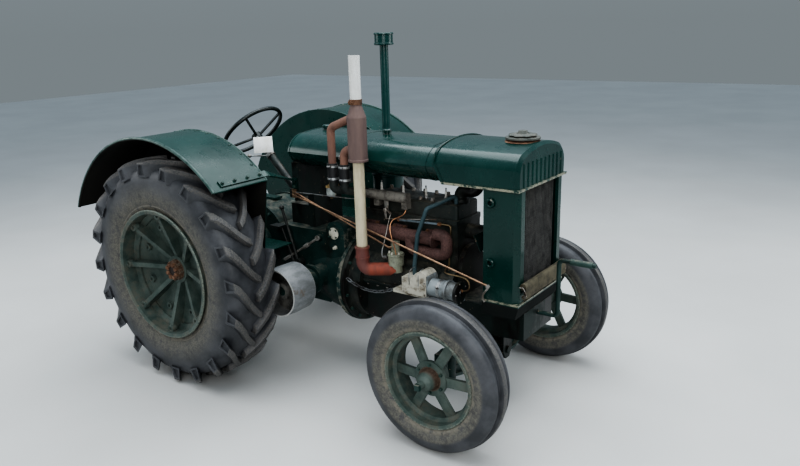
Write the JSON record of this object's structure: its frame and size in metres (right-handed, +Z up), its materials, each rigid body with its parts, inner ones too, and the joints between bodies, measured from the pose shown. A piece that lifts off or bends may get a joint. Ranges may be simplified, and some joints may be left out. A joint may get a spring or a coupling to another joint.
{
  "type": "farm tractor",
  "caption": "Vintage four-wheel farm tractor with open engine, upright pipe stacks, arched rear wings, lugged rear tyres and a steered front axle.",
  "frame": {"origin": "on the ground under the middle of the tractor's length and width", "axes": "+X forward, +Y to the tractor's left, +Z up"},
  "size_m": [2.845, 1.778, 1.866],
  "materials": {
    "green_paint": "glossy deep blue-green enamel, worn at edges",
    "casting_green": "painted castings with oil and dust",
    "wheel_green": "dusty grey-green paint",
    "tyre": "weathered grey rubber with dried mud",
    "manifold_rust": "heat-browned iron",
    "stack_cream": "cream lagging, red elbow at the foot",
    "silencer_brown": "purple-brown baked paint, white tail",
    "bare_steel": "dull bright steel",
    "copper_rod": "dull copper-coloured rod",
    "off_white": "stained pale casting",
    "core_dark": "dark grey fin block",
    "steering_black": "black rim, worn",
    "canvas": "rolled beige canvas",
    "hose_black": "black rubber hose with bright clamps",
    "conduit_blue": "blue-green painted tube"
  },
  "bodies": {
    "tractor": {"gearbox": "casting_green", "rear_axle_case": "casting_green", "engine_block": "casting_green", "cylinder_head": "casting_green", "sump": "casting_green", "front_axle": "casting_green", "radius_rods": "casting_green", "radiator_frame": "green_paint", "radiator_core": "core_dark", "radiator_header": "green_paint", "filler_cap": "silencer_brown", "fuel_tank": "green_paint", "dash_casting": "casting_green", "wings": "green_paint", "footplate": "green_paint", "seat": "green_paint", "drawbar": "casting_green", "manifold": "manifold_rust", "carburettor": "off_white", "stack_pipe": "stack_cream", "silencer": "silencer_brown", "hose_pipes": "hose_black", "controls": "copper_rod", "lead_conduit": "conduit_blue", "slack_chain": "bare_steel", "blind_roll": "canvas", "air_washer": "green_paint", "magneto": "off_white", "starting_handle": "casting_green"},
    "rear_wheel_r": {"rear_tyre_right": "tyre", "rear_wheel_right": "wheel_green"},
    "rear_wheel_l": {"rear_tyre_left": "tyre", "rear_wheel_left": "wheel_green"},
    "front_wheel_r": {"front_tyre_right": "tyre", "front_wheel_right": "wheel_green"},
    "front_wheel_l": {"front_tyre_left": "tyre", "front_wheel_left": "wheel_green"},
    "knuckle_r": {"knuckle_right": "casting_green"},
    "knuckle_l": {"knuckle_left": "casting_green"},
    "tie_rod": {"tie_rod": "casting_green"},
    "drag_link": {"drag_link": "casting_green"},
    "drop_arm": {"drop_arm": "casting_green"},
    "steering_wheel": {"steering_wheel": "steering_black"},
    "belt_pulley": {"belt_pulley": "bare_steel"},
    "fan": {"fan": "casting_green"}
  },
  "joints": [
    {"name": "rear_wheel_right_roll", "type": "hinge", "parent": "tractor", "child": "rear_wheel_r", "pos_m": [-0.69, -0.722, 0.635], "axis": [0, 1, 0], "continuous": true},
    {"name": "rear_wheel_left_roll", "type": "hinge", "parent": "tractor", "child": "rear_wheel_l", "pos_m": [-0.69, 0.722, 0.635], "axis": [0, 1, 0], "continuous": true},
    {"name": "kingpin_right", "type": "hinge", "parent": "tractor", "child": "knuckle_r", "pos_m": [0.91, -0.486, 0.365], "axis": [0, 0, 1], "range_deg": [-32, 32]},
    {"name": "kingpin_left", "type": "hinge", "parent": "tractor", "child": "knuckle_l", "pos_m": [0.91, 0.486, 0.365], "axis": [0, 0, 1], "range_deg": [-32, 32]},
    {"name": "front_wheel_right_roll", "type": "hinge", "parent": "knuckle_r", "child": "front_wheel_r", "pos_m": [0.91, -0.592, 0.365], "axis": [0, 1, 0], "continuous": true},
    {"name": "front_wheel_left_roll", "type": "hinge", "parent": "knuckle_l", "child": "front_wheel_l", "pos_m": [0.91, 0.592, 0.365], "axis": [0, 1, 0], "continuous": true},
    {"name": "tie_rod_pivot", "type": "hinge", "parent": "knuckle_r", "child": "tie_rod", "pos_m": [0.76, -0.486, 0.2704], "axis": [0, 0, 1], "range_deg": [-32, 32]},
    {"name": "drag_link_pivot", "type": "hinge", "parent": "knuckle_l", "child": "drag_link", "pos_m": [0.91, 0.29, 0.4576], "axis": [0, 0, 1], "range_deg": [-32, 32]},
    {"name": "drop_arm_shaft", "type": "hinge", "parent": "tractor", "child": "drop_arm", "pos_m": [-0.36, 0.24, 0.85], "axis": [0, 1, 0], "range_deg": [-39.7, 39.7]},
    {"name": "steering_wheel_turn", "type": "hinge", "parent": "tractor", "child": "steering_wheel", "pos_m": [-0.76305, 0, 1.25305], "axis": [-0.7071, 0, 0.7071], "range_deg": [-449, 449]},
    {"name": "belt_pulley_turn", "type": "hinge", "parent": "tractor", "child": "belt_pulley", "pos_m": [-0.116, -0.479, 0.545], "axis": [0, 1, 0], "continuous": true},
    {"name": "fan_turn", "type": "hinge", "parent": "tractor", "child": "fan", "pos_m": [0.87, 0, 0.88], "axis": [1, 0, 0], "continuous": true}
  ],
  "couplings": [
    {"joint": "kingpin_left", "follows": "kingpin_right", "ratio": 1},
    {"joint": "tie_rod_pivot", "follows": "kingpin_right", "ratio": -1},
    {"joint": "drag_link_pivot", "follows": "kingpin_right", "ratio": -1},
    {"joint": "drop_arm_shaft", "follows": "kingpin_right", "ratio": -1.225},
    {"joint": "steering_wheel_turn", "follows": "kingpin_right", "ratio": 14}
  ]
}
